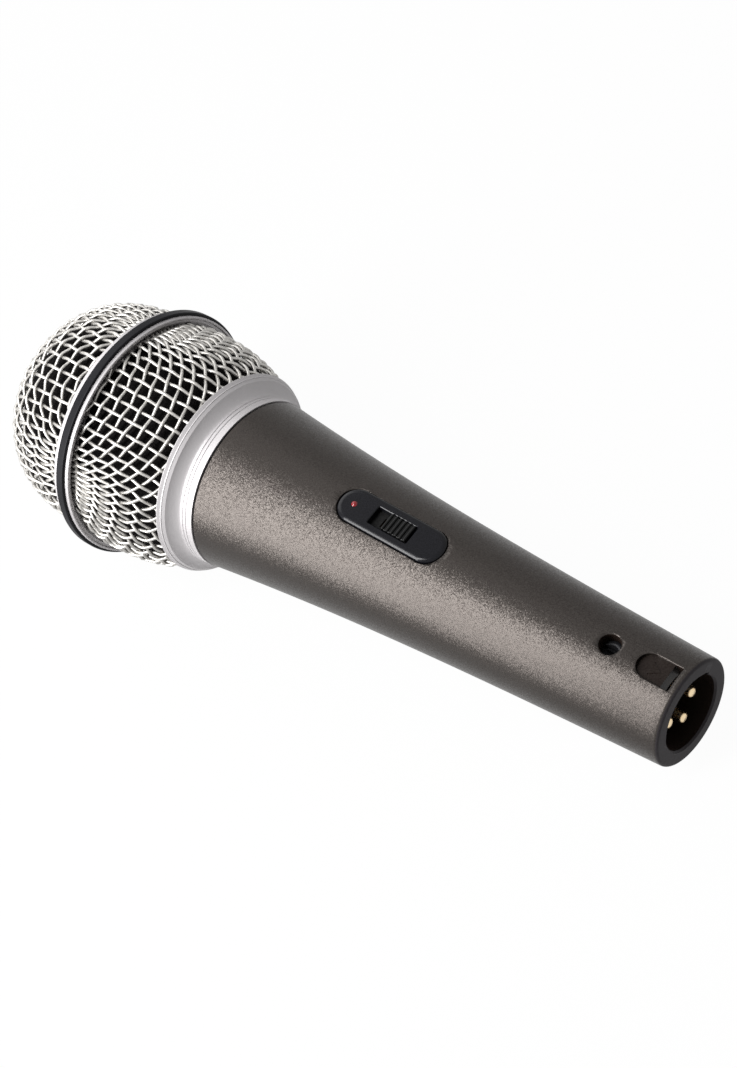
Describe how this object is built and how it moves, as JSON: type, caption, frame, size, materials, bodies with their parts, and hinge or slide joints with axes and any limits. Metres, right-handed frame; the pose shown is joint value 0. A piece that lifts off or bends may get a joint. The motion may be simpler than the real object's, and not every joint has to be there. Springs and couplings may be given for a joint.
{
  "type": "dynamic microphone",
  "caption": "Hand-held vocal microphone with a woven-wire ball grille, tapered handle, slide switch and male pin connector socket.",
  "frame": {"origin": "centre of the connector rim's plane, in the middle of the plug socket", "axes": "+X along the microphone and out of the connector, the head at -X; +Z out through the switch and the latch window"},
  "size_m": [0.1745, 0.0576, 0.0576],
  "materials": {
    "handle_paint": "fine metallic sparkle paint, satin",
    "insert_plastic": "moulded, matt",
    "contact_gold": "pale gold plating",
    "screw_steel": "blackened steel",
    "spring_brass": "plain strip",
    "switch_black": "satin moulded",
    "indicator_red": "glossy bead",
    "button_black": "ribbed, matt",
    "can_steel": "pressed sheet",
    "switch_phenolic": "phenolic board",
    "seal_rubber": "flat washer",
    "collar_silver": "cast, fine matt silver",
    "hoop_silver": "turned, matt silver",
    "band_black": "satin band",
    "grille_wire": "bright woven wire",
    "foam": "open-cell foam",
    "mount_rubber": "soft moulded",
    "capsule_plastic": "moulded",
    "felt": "pressed felt",
    "pole_steel": "plated",
    "magnet_ceramic": "ground sintered",
    "coil_copper": "enamelled wire",
    "film": "thin film",
    "screen_cloth": "fine acoustic cloth",
    "lead_red": "wire insulation",
    "lead_black": "wire insulation"
  },
  "bodies": {
    "handle": {"handle_body": "handle_paint", "connector_insert": "insert_plastic", "contact_pin_1": "contact_gold", "contact_pin_2": "contact_gold", "contact_pin_3": "contact_gold", "retaining_screw": "screw_steel", "ground_tab": "spring_brass", "switch_plate": "switch_black", "indicator_dot": "indicator_red", "switch_can": "can_steel", "switch_base": "switch_phenolic", "switch_terminals": "spring_brass", "switch_screws": "screw_steel", "shock_mount": "mount_rubber", "capsule_housing": "capsule_plastic", "capsule_base": "switch_phenolic", "capsule_terminals": "spring_brass", "rear_felt": "felt", "magnet_carrier": "capsule_plastic", "yoke": "pole_steel", "magnet": "magnet_ceramic", "pole_plate": "pole_steel", "diaphragm_surround": "film", "clamp_ring": "capsule_plastic", "resonator_cap": "capsule_plastic", "capsule_screen": "screen_cloth", "lead_capsule_to_switch": "lead_red", "lead_switch_to_pin": "lead_red", "lead_capsule_to_pin": "lead_black"},
    "button": {"switch_slider": "button_black", "switch_contact": "spring_brass"},
    "seal": {"seal_ring": "seal_rubber"},
    "grille_head": {"grille_collar": "collar_silver", "grille_hoop": "hoop_silver", "hoop_band": "band_black", "front_mesh": "grille_wire", "rear_mesh": "grille_wire", "front_foam": "foam", "rear_foam": "foam"},
    "moving_coil": {"voice_coil": "coil_copper", "diaphragm": "film"}
  },
  "joints": [
    {"name": "switch_slide", "type": "slide", "parent": "handle", "child": "button", "axis": [-0.9973, 0, 0.0729], "range_m": [0, 0.0031]},
    {"name": "grille_lift", "type": "slide", "parent": "handle", "child": "seal", "axis": [-1, 0, 0], "range_m": [0, 0.004]},
    {"name": "grille_turn", "type": "hinge", "parent": "seal", "child": "grille_head", "pos_m": [-0.118, 0, 0], "axis": [-1, 0, 0], "range_deg": [0, 1440]},
    {"name": "coil_travel", "type": "slide", "parent": "handle", "child": "moving_coil", "axis": [-1, 0, 0], "range_m": [-0.0002, 0.0002], "stiffness_N_per_m": 70}
  ],
  "couplings": [
    {"joint": "grille_lift", "follows": "grille_turn", "m_per_rad": 0.00015915}
  ]
}
